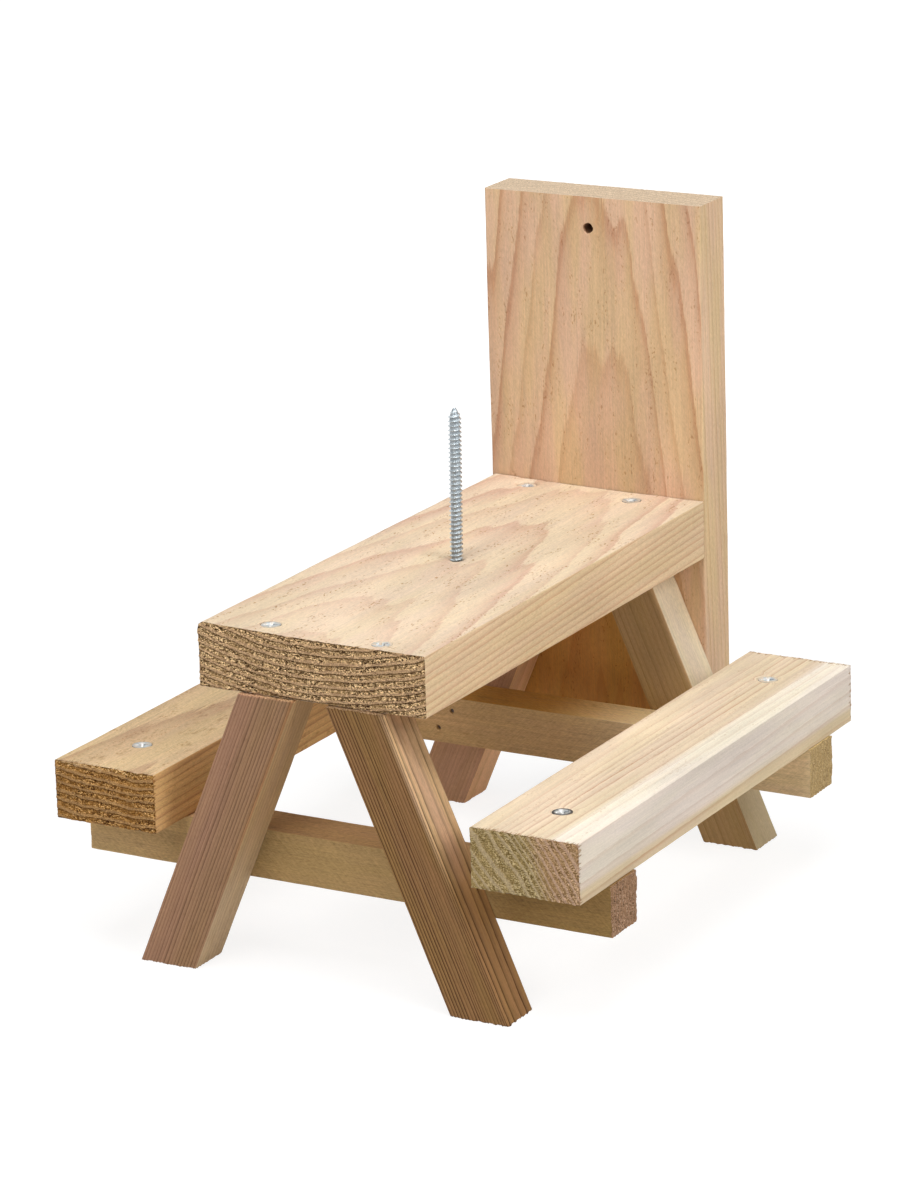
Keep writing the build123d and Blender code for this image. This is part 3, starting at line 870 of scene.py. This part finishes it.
groups = (sawn_cedar_group(), torn_end_group())
for node, own_stock in BOARDS.items():
    stock = {**PLAIN_STOCK, **own_stock}
    low, high = node_box(node)
    centre, span = (low + high) / 2, high - low
    finishes = cedar_materials(f"cedar_{node}", groups, stock)
    kind, _, place = node.partition("_")
    axes, size, holes, scale = FLAT, span, [], (1, 1, 1)
    if node == "table_top":
        front, rear = screw_seats["top_screws_front"], screw_seats["top_screws_rear"]
        holes += local_holes(front, centre, COUNTERSINK, ragged=SCREW_RAG)
        holes += local_holes(rear[:1], centre, DEEP_SINK, ragged=0.06)
        holes += local_holes(rear[1:], centre, COUNTERSINK, ragged=SCREW_RAG)
        foot = (spike_axis[0] + SPIKE_LEAN * (high[2] - SPIKE_MIDDLE), spike_axis[1])
        holes += local_holes([foot], centre, SPIKE_HOLE, ragged=0.15)
        holes += local_holes([spike_axis], centre, SPIKE_HEAD_HOLE, high=0)
    elif node == "back_board":
        axes, size = UPRIGHT, span[[0, 2, 1]]
        middle = centre[[0, 2]]
        # The hanging hole's bore gets painted shade
        bore = dict(outline=HANG_BORE, through=True, ragged=0.08, tint=(0.38, 0.3, 0.24))
        holes += local_holes([HANG_HOLE], middle, **bore)
        holes += local_holes(screw_seats["back_screws"], middle, COUNTERSINK, high=0, ragged=SCREW_RAG)
    elif kind == "bench":
        holes += local_holes(screw_seats[f"bench_screws_{place}"], centre, COUNTERSINK, ragged=SCREW_RAG)
    elif kind == "leg":
        axes = [[1, 0, 0], [-LEG_LEAN * np.sign(centre[0]), 0, 1], [0, -1, 0]]
        size = np.array([span[0] - LEG_LEAN * span[2], span[2], span[1]])
        scale = (LEG_COSINE, 1 / LEG_COSINE, 1)
    else:
        inward = 1 if place == "front" else -1
        axes, size = [[0, 0, inward], [1, 0, 0], [0, inward, 0]], span[[2, 0, 1]]
        nail_low, nail_high = node_box(f"stretcher_nails_{place}")
        outer = nail_high[0] - NAIL_RADIUS
        pits = [(nail_low[2] + NAIL_RADIUS, outer), (nail_high[2] - NAIL_RADIUS, outer - NAIL_STEP)]
        seats = [((z - centre[2]) * inward, side * x) for z, x in pits for side in (-1, 1)]
        holes += local_holes(seats, (0, 0), NAIL_PIT, ragged=0.2)
    piece = board(node, size, centre, axes, stock, finishes, holes, scale)

# Steel
zinc = metal_material("bright_zinc", (0.52, 0.57, 0.60), (0.36, 0.41, 0.43), 0.36, 0.55)
thread_zinc = metal_material("thread_zinc", (0.62, 0.68, 0.715), (0.41, 0.465, 0.50), 0.28, 0.75)
nail_steel = metal_material("nail_steel", (0.20, 0.18, 0.16), (0.12, 0.10, 0.09), 0.5, 0.7)
top_low, top_high = node_box("table_top")
surface, top_width = top_high[2], top_high[0] - top_low[0]
for node, seats in screw_seats.items():
    low, high = node_box(node)
    if node == "back_screws":
        places = [(x, high[1] + HEAD_SINK, z) for x, z in seats]
        axes, length = BACKWARDS, high[1] - low[1] - SCREW_SHORT
    else:
        swell = TOP_SWELL if node.startswith("top") else 0
        places = [(x, y, high[2] + HEAD_SINK + swell * (0.5 - x / top_width) ** 3) for x, y in seats]
        axes, length = FLAT, high[2] - low[2] - SCREW_SHORT
    copies = []
    for place, (sink, *look) in zip(places, SCREW_LOOKS[node]):
        points, faces, shade_glint_and_dust = screw_points(length, SCREW_CORE, HEAD_RADIUS, SCREW_POINT, *look)
        points[:, 2] -= sink
        copies.append((points @ axes + place, faces, shade_glint_and_dust))
    steel_piece(f"{node}_heads", node, copies, zinc, sharp=32.0)

points, faces, shade_glint_and_dust = spike_points(spike_high[2] - surface)
points += (*spike_axis, surface)
points[:, 0] += SPIKE_LEAN * (points[:, 2] - SPIKE_MIDDLE)
threaded = (points, faces, shade_glint_and_dust)
buried = surface - spike_low[2] - SHANK_TOP
# The head underneath gets the screws' painted shade and painted glint, and dust
look = dict(point=0.5, spin=0.4, rim=0.4, gleam=0.7, dust=0.4)
points, faces, shade_glint_and_dust = screw_points(buried, SPIKE_SHANK, SPIKE_HEAD_RADIUS, **look)
underneath = (points @ UPSIDE_DOWN + (*spike_axis, spike_low[2]), faces, shade_glint_and_dust)
steel_piece("corn_spike_thread", "corn_spike", [threaded, underneath], thread_zinc, sharp=50.0)
for node in ("stretcher_nails_front", "stretcher_nails_rear"):
    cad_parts[node].data.materials.clear()
    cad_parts[node].data.materials.append(nail_steel)

# World and floor, in metres
scene = bpy.context.scene
scene.view_settings.view_transform = "Standard"
WHITE = (1, 1, 1, 1)
AMBIENT = 0.22  # strength of the world's light, which is white to look at
FLOOR_HALF = 6


def seen_directly(tree):
    """1 for camera, glossy and transmission rays, and 0 for the rest."""
    path = add(tree, "LightPath").outputs
    mirrored = calc("MAXIMUM", path["Is Glossy Ray"], path["Is Transmission Ray"])
    return calc("MAXIMUM", path["Is Camera Ray"], mirrored)


def paper_shader(tree, level, strength):
    """A grey matt surface with a white glow."""
    matt = add(tree, "BsdfDiffuse", {"Color": (level, level, level, 1)})
    glow = add(tree, "Emission", {"Color": WHITE, "Strength": strength})
    return add(tree, "AddShader", {0: matt.outputs[0], 1: glow.outputs[0]}).outputs[0]


scene.world = bpy.data.worlds.new("studio")
scene.world.use_nodes = True
tree = scene.world.node_tree
strength = grown(seen_directly(tree), 1 - AMBIENT, AMBIENT)
plug(tree.nodes["Background"], {"Color": WHITE, "Strength": strength})

floor_mesh = bpy.data.meshes.new("floor")
corners = [(x * FLOOR_HALF, y * FLOOR_HALF, 0) for x, y in ((-1, -1), (1, -1), (1, 1), (-1, 1))]
floor_mesh.from_pydata(corners, [], [(0, 1, 2, 3)])
floor = bpy.data.objects.new("floor", floor_mesh)
scene.collection.objects.link(floor)
paper, tree, _ = new_material("white_paper")
tree.nodes.clear()
where = add(tree, "TexCoord").outputs["Object"]
far = join("VectorMath", {0: where}, operation="LENGTH").outputs["Value"]
lit = paper_shader(tree, 0.8, 0.2)
seen = paper_shader(tree, 0.25, step_up(far, 0.3, 1.0, 0.84, 1.02))
mixed = join("MixShader", {0: seen_directly(tree), 1: lit, 2: seen}).outputs[0]
add(tree, "OutputMaterial", {"Surface": mixed})
floor_mesh.materials.append(paper)

# Lamps and camera, in metres
LAMP_AIM = (0, 0, 0.1)


def placed_object(name, data, right, up, back, place):
    """A lamp or camera at a place, with its right, up and back directions."""
    made = bpy.data.objects.new(name, data)
    scene.collection.objects.link(made)
    matrix = np.eye(4)
    matrix[:3] = np.column_stack([right, up, back, place])
    made.matrix_world = Matrix(matrix.tolist())
    return made


def softbox(name, place, size, power):
    """A square lamp that faces the table."""
    lamp = bpy.data.lights.new(name, "AREA")
    lamp.size, lamp.energy = size, power
    back = np.subtract(place, LAMP_AIM)
    back /= np.linalg.norm(back)
    right = np.cross((0, 0.001, 1), back)
    right /= np.linalg.norm(right)
    placed_object(name, lamp, right, np.cross(back, right), back, place)


softbox("overhead", (0.15, -0.35, 1.8), 1.2, 19.5)
softbox("right", (1.65, -0.40, 1.25), 0.9, 14.0)
softbox("front", (0.0, -1.8, 1.4), 1.0, 12.2)

FOCAL_PIXELS = 4658.1  # the focal length, in pixels of the photograph
PHOTO_HEIGHT = 1200.0
SENSOR_HEIGHT = 36.0
camera = bpy.data.cameras.new("camera")
camera.sensor_fit, camera.sensor_height = "VERTICAL", SENSOR_HEIGHT
camera.lens = FOCAL_PIXELS * SENSOR_HEIGHT / PHOTO_HEIGHT
camera.clip_end = 20.0
scene.camera = placed_object(
    "camera", camera, right=(0.86945, 0.49312, -0.02992), up=(-0.11847, 0.26693, 0.95641),
    back=(0.47961, -0.82800, 0.29051), place=(0.78651, -1.37324, 0.59002))
